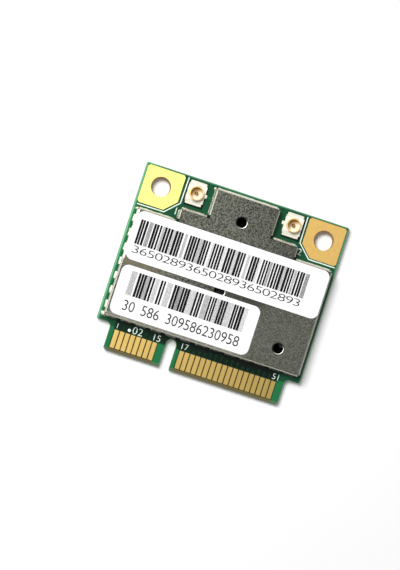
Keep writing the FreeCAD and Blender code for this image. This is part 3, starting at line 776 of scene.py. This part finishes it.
class CARD_OT_gold(bpy.types.Operator):
    """Gold of the contacts, the ground pads and the test pads"""
    bl_idname = "card.gold"
    bl_label = "Gold finish"

    def execute(self, context):
        settings = context.scene.card_gold
        for node, colour in (("left_ground_plating", settings.left_pad_with_highlight),
                             ("right_ground_plating", settings.right_pad),
                             ("test_pads", settings.right_pad)):
            self.pad(settings, node, colour)
        gold = Finish("contact_gold", settings.lit_left_contacts, 1.0, Roughness=0.36)
        # Painted highlight: the contacts' gold runs from bright at the left to darker at the right.
        tone = gold.mix(gold.step(gold.x, board_low.x, board_high.x), rgba(settings.lit_left_contacts),
                        rgba(settings.shaded_right_contacts))
        rubbed = gold.grain(0.35, 3.0, stretch=(1.0, 0.12, 1.0))
        gold.paint(gold.coat(tone, rgba(settings.shaded_right_contacts, 0.8), gold.step(rubbed, 0.4, 0.7), 0.22))
        gold.emboss((rubbed, 0.003))
        gold.dress(*CONTACT_ROWS)
        return {"FINISHED"}

    def pad(self, settings, node, colour):
        """Gold of a pad, with a ring of painted shade at its screw hole's mouth, set a little to the rear
        left, and the barrel painted dull brown as shaded plating.
        """
        gold = Finish(node + "_gold", colour, 1.0, Roughness=0.42)
        hole_x, hole_y, shift = 12.1, 10.61, -0.06
        mouth_shade = gold.step(gold.around(hole_x, hole_y, shift)[0], 1.45, 1.39)
        barrel_shade = gold.steep(0.6, 0.4)
        tone = gold.coat(gold.patchy(colour, 0.5, 0.95, 1.03), rgba(settings.mouth_shade), mouth_shade)
        gold.paint(gold.coat(tone, rgba(settings.barrel_shade), barrel_shade))
        gold.feed(gold.shader["Metallic"], gold.math("SUBTRACT", 1.0, gold.largest(barrel_shade, mouth_shade)))
        gold.emboss((gold.grain(0.12, 3.0), 0.004))
        gold.dress(node)


class CARD_OT_shield(bpy.types.Operator):
    """Mottled tinplate of the shield, with a rolled edge round its vent holes"""
    bl_idname = "card.shield"
    bl_label = "Shield finish"

    def execute(self, context):
        settings = context.scene.card_shield
        tin = Finish("tinplate", settings.sheet, 0.4, Specular_IOR_Level=0.2)
        mottle = tin.step(tin.grain(settings.grain_size / MM, 3.0, 0.65), 0.40, 0.60)
        tone = self.between_labels(tin, settings, self.flat_sheet(tin, settings, mottle))
        tin.paint(self.fold_highlights_and_shade(tin, settings, tone))
        tin.feed(tin.shader["Roughness"], tin.math("ADD", 0.34, tin.times(mottle, 0.16)))
        tin.emboss((mottle, 0.006))
        tin.dress("shield_lid")
        # Painted shade: the frame under the lid is painted nearly black.
        shaded_frame = Finish("tinplate_frame", settings.sheet, 1.0, Roughness=0.5)
        shaded_frame.vary([channel * 0.1 for channel in settings.sheet], 0.3, 0.2)
        shaded_frame.dress("shield_frame")
        self.lips(settings)
        return {"FINISHED"}

    def flat_sheet(self, tin, settings, mottle):
        """Mottled tin with bright specks, with painted shade that darkens the rear right, and calmer at the
        front right.
        """
        clouds = tin.step(tin.grain(5.0), 0.35, 0.65)
        dark = tin.mix(clouds, rgba(settings.sheet, 0.14), rgba(settings.sheet, 0.40))
        tone = tin.mix(mottle, dark, rgba(settings.sheet, 1.78))
        # Painted shade: darker towards the rear right.
        tone = tin.coat(tone, rgba(settings.sheet, 0.30), tin.step(tin.x, -2, 9), tin.step(tin.y, -4, 6),
                        0.52)
        tone = tin.coat(tone, rgba(settings.sheet, 0.90), tin.step(tin.x, 3, 7), tin.step(tin.y, 1, -1),
                        0.55)
        return tin.coat(tone, rgba(settings.sheet, 3.0), tin.step(tin.grain(0.19, 1.0), 0.64, 0.70), 0.55)

    def between_labels(self, tin, settings, tone):
        """Strip between the labels, with painted shade in the middle and a lighter, warmer painted sheen at
        the left.
        """
        strip = tin.within(tin.y, lower_high.y - 0.1, upper_low.y + 0.1)
        # Painted shade in the middle of the strip between the labels.
        tone = tin.coat(tone, rgba(settings.sheet, 0.25), strip, tin.step(tin.x, -8, 2),
                        tin.step(tin.x, 8, 5), 0.7)
        return tin.coat(tone, rgba(settings.warm_sheen), strip, tin.step(tin.x, -6, -12), 0.8)

    def fold_highlights_and_shade(self, tin, settings, tone):
        """Painted highlights on the folds and on the front edge at the left, a broken line of painted shadow
        behind the front fold, and the brightest painted highlight on the left fold.
        """
        tone = tin.coat(tone, rgba(settings.fold, 0.62),
                        tin.step(tin.y, lid_low.y + 0.55, lid_low.y + 0.35), tin.step(tin.x, 6.5, 4.0), 0.75)
        # Painted shadow behind the front fold.
        tone = tin.coat(tone, rgba(settings.sheet, 0.2),
                        tin.within(tin.y, lid_low.y + 0.22, lid_low.y + 0.30, 0.04),
                        tin.step(tin.grain(0.5), 0.35, 0.5), 0.8)
        tone = tin.coat(tone, rgba(settings.fold), tin.step(tin.facing_z, 0.99, 0.95))
        tone = tin.coat(tone, rgba(settings.fold, 0.75),
                        tin.step(tin.x, lid_high.x - 0.30, lid_high.x - 0.15), 0.7)
        return tin.coat(tone, rgba(settings.left_fold_highlight),
                        tin.step(tin.x, lid_low.x + 0.32, lid_low.x + 0.22),
                        tin.step(tin.y, upper_low.y - 0.2, upper_low.y + 0.3))

    def lips(self, settings):
        """Edge that the punch rolled into each round hole, painted bright on the side that faces the key and
        dark on the rest.
        """
        width = settings.lip_width / MM
        section = ((width, -0.02), (width, 0.012), (width * 0.5, 0.010), (0.01, 0.001), (-0.025, -0.04),
                   (-0.035, -0.15))
        steps = 48
        form = bmesh.new()
        for x, y in ((0.0, board_high.y - 4.12), (0.0, (lower_high.y + upper_low.y) / 2),
                     (lid_high.x - 4.1, lid_low.y + 2.9)):
            rings = []
            for out, z in section:
                radius = VENT_RADIUS + out
                rings.append([form.verts.new((x + radius * math.cos(angle), y + radius * math.sin(angle),
                                              lid_high.z + z))
                              for angle in (math.tau * k / steps for k in range(steps))])
            wrap(form, rings, closed=True)
        edge = Finish("rolled_edge", settings.lip, 1.0, Roughness=0.3)
        lit_edge = edge.mix(edge.step(edge.grain(0.3, 3.0), 0.3, 0.7), rgba(settings.lip, 0.85),
                          rgba(settings.lip, 1.1))
        # Painted highlight and shade: the edge is bright where it faces the key.
        toward_key = edge.math("SUBTRACT", edge.facing_y, edge.facing_x)
        edge.paint(edge.mix(edge.step(toward_key, 0.03, 0.10), rgba(settings.sheet, 0.3), lit_edge))
        piece_from("vent_lips", form, edge)


class CARD_OT_solder(bpy.types.Operator):
    """Rounded solder along the shield's feet, with larger blobs at its corners"""
    bl_idname = "card.solder"
    bl_label = "Solder"

    def execute(self, context):
        settings = context.scene.card_shield
        solder = Finish("solder", settings.solder, 1.0, Roughness=0.38)
        tone = solder.patchy(settings.solder, 0.35, 0.88, 1.12)
        # Painted shade: the front beads darken towards the right, and the beads at the right side are
        # darkest.
        front_shade = solder.mix(solder.step(solder.x, -8, 8), rgba(settings.solder, 0.40),
                            rgba(settings.solder, 0.2))
        tone = solder.coat(tone, front_shade, solder.step(solder.y, lid_low.y + 0.2, lid_low.y),
                           solder.step(solder.x, lid_low.x + 0.6, lid_low.x + 1.0))
        solder.paint(solder.coat(tone, rgba(settings.solder, 0.22),
                                 solder.step(solder.x, lid_high.x - 0.1, lid_high.x)))
        solder.emboss((solder.grain(0.25, 3.0), 0.02))
        form = bmesh.new()
        for seed, (low, high) in enumerate(self.feet()):
            self.bead(form, low, high, settings.bead_spacing / MM, seed)
        for x, y, reach, depth in ((lid_low.x + 0.08, lid_low.y + 0.12, 0.50, 0.40),
                                   (-4.8, lid_high.y - 0.1, 0.28, 0.30), (-4.76, 8.74, 0.16, 0.16),
                                   (lid_low.x + 0.05, 6.72, 0.38, 0.26)):
            self.blob(form, x, y, reach, depth)
        beads = piece_from("solder_beads", form, solder)
        beads.data.shade_smooth()
        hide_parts("shield_solder")
        return {"FINISHED"}

    def feet(self):
        """Boxes of the separate solder joints in the CAD model, in order."""
        form = bmesh.new()
        form.from_mesh(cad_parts["shield_solder"].data)
        bmesh.ops.remove_doubles(form, verts=form.verts, dist=1e-7)
        left = set(form.faces)
        boxes = []
        while left:
            grow = [left.pop()]
            corners = []
            while grow:
                face = grow.pop()
                corners += [vertex.co / MM for vertex in face.verts]
                for edge in face.edges:
                    if len(edge.link_faces) == 2:
                        found = left.intersection(edge.link_faces)
                        left -= found
                        grow += found
            boxes.append([Vector([pick(corner[k] for corner in corners) for k in range(3)])
                          for pick in (min, max)])
        form.free()
        return sorted(boxes, key=lambda box: (box[0].x, box[0].y))

    def outward(self, low, high):
        """Way in which a joint's toe points, from where its box lies against the shield."""
        middle = (low + high) / 2
        if high.y - low.y > high.x - low.x:
            return Vector((1 if middle.x > 0 else -1, 0, 0))
        return Vector((0, -1 if middle.y < lid_low.y + 1 else 1, 0))

    def bead(self, form, low, high, spacing, seed):
        """Uneven fillet with rounded ends, slimmer beside the tower and calmer at the rear."""
        way = self.outward(low, high)
        along = Vector((way.y, -way.x, 0))
        length = abs((high - low).dot(along))
        height = high.z - low.z
        rear = low.y > lid_high.y - TOWER_LENGTH
        fullness = 0.78 if way.y > 0 else 0.2 if rear else 0.74
        unevenness = 0.12 if rear else 0.3
        end_radius = 0.1
        reach = abs((high - low).dot(way)) * fullness
        foot = (low + high) / 2 - way * (reach / 2)
        foot.z = low.z
        count = max(4, round(length / spacing))
        rings = []
        for k in range(count + 1):
            t = k / count
            place = foot + along * (length * (t - 0.5))
            end = min(t, 1 - t) * length
            swell = math.sqrt(max(0.0, 1 - max(0.0, 1 - end / end_radius) ** 2))
            lump = noise.noise(Vector((place.x * 1.7, place.y * 1.7, seed * 3.1)))
            size = max(0.02, swell * (1 + unevenness * lump))
            rings.append(quarter_round(form, place, way, reach * min(size, 1.05), height * size, 6))
        wrap(form, rings)

    def blob(self, form, x, y, reach, depth):
        """Uneven drop of solder on the board."""
        height = 0.36
        unevenness = 0.28
        for vertex in bmesh.ops.create_icosphere(form, subdivisions=3, radius=1)["verts"]:
            swell = 1 + unevenness * noise.noise(vertex.co * 1.6 + Vector((x, y, 0)))
            vertex.co = Vector((x, y, TOP)) + Vector((vertex.co.x * reach, vertex.co.y * depth,
                                                      max(0.0, vertex.co.z) * height)) * swell


class CARD_OT_legend(bpy.types.Operator):
    """White legend lines and contact numbers on the board"""
    bl_idname = "card.legend"
    bl_label = "Legend"

    def execute(self, context):
        settings = context.scene.card_print
        form = bmesh.new()
        for line in ([(-8.78, 13.1), (-8.86, 9.27), (-10.70, 7.41), (-14.65, 7.35)],
                     [(8.90, 13.08), (8.93, 9.27), (10.79, 7.44), (14.72, 7.44)]):
            ribbon(form, line, settings.line_width / MM, TOP - SKIN, TOP + SKIN)
        dot = Matrix.Translation((-10.17, -9.85, TOP))
        bmesh.ops.create_cone(form, cap_ends=True, segments=20, radius1=0.23, radius2=0.23, depth=SKIN * 2,
                              matrix=dot)
        white = Finish("legend_white", settings.legend, 0.0, Roughness=0.6)
        white.vary(settings.legend, 0.2, 0.06)
        piece_from("legend_lines", form, white)
        words = [(text, x, y, height / DIGIT_HEIGHT, squeeze, settings.stroke / MM)
                 for text, x, y, height, squeeze in (
                     ("1", -9.12, 7.98, 1.0, 1.0), ("2", 9.27, 7.98, 0.95, 1.0),
                     ("1", -11.92, -9.78, 0.75, 1.0), ("02", -8.98, -9.72, 1.04, 1.05),
                     ("15", -6.19, -9.74, 0.92, 1.0), ("17", -2.10, -9.70, 0.84, 1.0),
                     ("51", 11.56, -9.73, 0.84, 1.0))]
        piece_from("legend_numbers", lettering(words, TOP, SKIN * 2), white)
        return {"FINISHED"}


class CARD_OT_labels(bpy.types.Operator):
    """White labels with printed bars and plain numbers"""
    bl_idname = "card.labels"
    bl_label = "Labels"

    def execute(self, context):
        settings = context.scene.card_print
        paper = Finish("label_paper", settings.paper, 0.0, Roughness=0.45)
        paper.vary(settings.paper, 1.5, 0.01)
        paper.emboss((paper.grain(0.2, 4.0), 0.002))
        paper.dress("upper_label", "lower_label")
        ink = Finish("label_ink", settings.ink, 0.0, Roughness=0.6, Specular_IOR_Level=0.12)
        ink.vary(settings.ink, 0.3, 0.4)
        for name, tree, pitch, width in (("label_bars", bar_tree(), 1.95, 1.0),
                                         ("label_hair_lines", hatch_tree(), 0.4, 0.18)):
            rows = self.bar_rows(settings, pitch, width)
            piece_from(name, build(tree, ink, rows), ink)
        piece_from("label_numbers", lettering(self.numbers(), LABEL_TOP, SKIN), ink)
        return {"FINISHED"}

    def bar_rows(self, settings, pitch, width):
        """The row of bars on each label, with their pitch and width in modules."""
        module = settings.module / MM
        pitch *= module
        for x0, x1, y0, y1, share, seed in ((-13.35, 11.42, 1.84, 5.37, 0.74, settings.seed),
                                            (-12.45, 4.80, -5.28, -1.84, 0.6, settings.seed + 3)):
            yield {"Start": (x0, (y0 + y1) / 2, LABEL_TOP), "Step": (pitch, 0.0, 0.0), "Pitch": pitch,
                   "Count": round((x1 - x0) / pitch) + 1, "Module": width * module,
                   "Bar height": y1 - y0, "Group": settings.group / MM, "Share": share,
                   "Thickness": SKIN, "Seed": seed}

    def numbers(self):
        """Digits under the bars in a fixed order, wide on the upper label and tall on the lower one."""
        digits = "3806925"
        for index in range(22):
            yield digits[index * 3 % 7], -13.0 + index * 1.135, 1.03, 1.52, 1.72, -0.018
        for index in range(19):
            if index not in (2, 6):
                yield digits[index * 2 % 7], -11.95 + index * 0.905, -6.80, 2.15, 0.88, -0.010


class CARD_OT_jacks(bpy.types.Operator):
    """Gold contacts and moulded bases of the antenna jacks, with the solder on their legs and tails"""
    bl_idname = "card.jacks"
    bl_label = "Antenna jacks"

    def execute(self, context):
        colours = context.scene.card_parts
        jack_gold = context.scene.card_gold.jack_gold
        solder_colour = context.scene.card_shield.solder
        low, high = node_box("left_jack_base")
        gold = self.contact_gold((low + high) / 2, jack_gold, solder_colour)
        moulded = self.moulding((low + high) / 2, high.y, colours)
        solder = Finish("jack_solder", solder_colour, 1.0, Roughness=0.3)
        solder.vary(solder_colour, 0.25, 0.1)
        form = bmesh.new()
        for jack in JACKS:
            gold.dress(jack + "_shell", jack + "_pin")
            moulded.dress(jack + "_base")
            self.joints(form, jack)
        piece_from("jack_solder", form, solder).data.shade_smooth()
        return {"FINISHED"}

    def contact_gold(self, middle, colour, solder_colour):
        """Gold, tinned on the legs and the tail, and darker on the pin's top."""
        gold = Finish("jack_gold", colour, 1.0, Roughness=0.28)
        radius, _, along = gold.around(abs(middle.x), middle.y)
        tinned = gold.largest(gold.step(gold.math("ABSOLUTE", along), 0.98, 1.02),
                              gold.step(radius, 1.12, 1.18))
        tone = gold.coat(gold.patchy(colour, 0.3, 0.85, 1.08), rgba(solder_colour), tinned)
        gold.paint(gold.coat(tone, rgba(colour, 0.52), gold.step(radius, 0.42, 0.38)))
        return gold

    def moulding(self, middle, rear, colours):
        """Insulator, with the well's floor painted cream on the side lit by the key and in gold-brown shade
        on the far side, and grooves at the legs.
        """
        moulded = Finish("moulded_base", colours.insulator, 0.0, Roughness=0.45)
        radius, across, along = moulded.around(abs(middle.x), middle.y)
        # Painted light and shade in the well: cream towards the front right, gold-brown shade towards the
        # rear left.
        shaded = moulded.step(moulded.math("SUBTRACT", along, across), -0.55, 0.45)
        floor = moulded.mix(shaded, rgba(colours.well), rgba(colours.well_shade))
        tone = moulded.coat(moulded.patchy(colours.insulator, 0.5, 0.97, 1.03), floor,
                            moulded.step(radius, 0.9, 0.86))
        groove = moulded.within(moulded.math("ABSOLUTE", along), rear - middle.y - 0.22,
                                rear - middle.y - 0.17, 0.02)
        moulded.paint(moulded.coat(tone, rgba(colours.groove), groove, moulded.step(across, 0.7, 0.5)))
        moulded.emboss((moulded.grain(0.1), 0.003))
        return moulded

    def joints(self, form, jack):
        """Solder fillets beyond the two ground legs and the tail."""
        shell_low, shell_high = node_box(jack + "_shell")
        base_low, base_high = node_box(jack + "_base")
        pin_low, pin_high = node_box(jack + "_pin")
        middle = (base_low + base_high) / 2
        for way, y in ((-1, shell_low.y), (1, shell_high.y)):
            self.fillet(form, Vector((middle.x, y, TOP)), Vector((0, way, 0)), 2.3, 0.08, 0.12)
        inward, x = (-1, pin_low.x) if middle.x > 0 else (1, pin_high.x)
        self.fillet(form, Vector((x, middle.y, TOP)), Vector((inward, 0, 0)), 0.4, 0.06, 0.08)

    def fillet(self, form, foot, way, length, reach, height):
        """Even fillet with rounded ends, let a little into what it is soldered to."""
        along = Vector((way.y, -way.x, 0))
        steps = 14
        squareness = 14
        inset = 0.01
        rings = []
        for k in range(steps + 1):
            t = k / steps
            swell = max(0.05, math.sqrt(max(0.0, 1 - (2 * t - 1) ** squareness)))
            place = foot + along * (length * (t - 0.5)) - way * inset
            rings.append(quarter_round(form, place, way, reach * swell, height * swell, 5))
        wrap(form, rings)


class CARD_OT_parts(bpy.types.Operator):
    """Finishes of the chips and small parts under the shield"""
    bl_idname = "card.parts"
    bl_label = "Parts under the shield"

    def execute(self, context):
        settings = context.scene.card_parts
        for name, colour, metallic, rough, nodes in (
                ("moulded_chip", settings.epoxy, 0.0, 0.55,
                 ("radio_chip", "memory_chip", "regulator", "left_amplifier", "right_amplifier",
                  "antenna_switch")),
                ("ceramic", settings.ceramic, 0.0, 0.5,
                 ("left_filter", "right_filter", "capacitors", "resistors")),
                ("ferrite", settings.ferrite, 0.0, 0.7, ("inductor",)),
                ("crystal_can", context.scene.card_shield.solder, 1.0, 0.3, ("crystal",))):
            finish = Finish(name, colour, metallic, Roughness=rough, Specular_IOR_Level=0.1)
            finish.vary(colour, 0.3, 0.2)
            finish.emboss((finish.grain(0.08), 0.004))
            finish.dress(*nodes)
        return {"FINISHED"}


OPERATORS = (CARD_OT_stage, CARD_OT_board, CARD_OT_board_detail, CARD_OT_gold, CARD_OT_shield,
             CARD_OT_solder, CARD_OT_legend, CARD_OT_labels, CARD_OT_jacks, CARD_OT_parts)
SETTINGS = (("card_stage", CardStageSettings), ("card_board", CardBoardSettings),
            ("card_gold", CardGoldSettings), ("card_shield", CardShieldSettings),
            ("card_print", CardPrintSettings), ("card_parts", CardPartSettings))


class CARD_PT_panel(bpy.types.Panel):
    """Lists the steps and settings of the card's finishes"""
    bl_label = "Wireless card"
    bl_idname = "CARD_PT_panel"
    bl_space_type = "VIEW_3D"
    bl_region_type = "UI"
    bl_category = "Wireless card"

    def draw(self, context):
        for operator in OPERATORS:
            self.layout.operator(operator.bl_idname)
        for name, group in SETTINGS:
            box = self.layout.box()
            for label in group.__annotations__:
                box.prop(getattr(context.scene, name), label)


def register():
    for name, group in SETTINGS:
        bpy.utils.register_class(group)
        setattr(bpy.types.Scene, name, PointerProperty(type=group))
    for operator in OPERATORS:
        bpy.utils.register_class(operator)
    bpy.utils.register_class(CARD_PT_panel)


def unregister():
    bpy.utils.unregister_class(CARD_PT_panel)
    for operator in reversed(OPERATORS):
        bpy.utils.unregister_class(operator)
    for name, group in reversed(SETTINGS):
        delattr(bpy.types.Scene, name)
        bpy.utils.unregister_class(group)


def main():
    register()
    for operator in OPERATORS:
        group, name = operator.bl_idname.split(".")
        getattr(getattr(bpy.ops, group), name)()


if __name__ == "__main__":
    main()
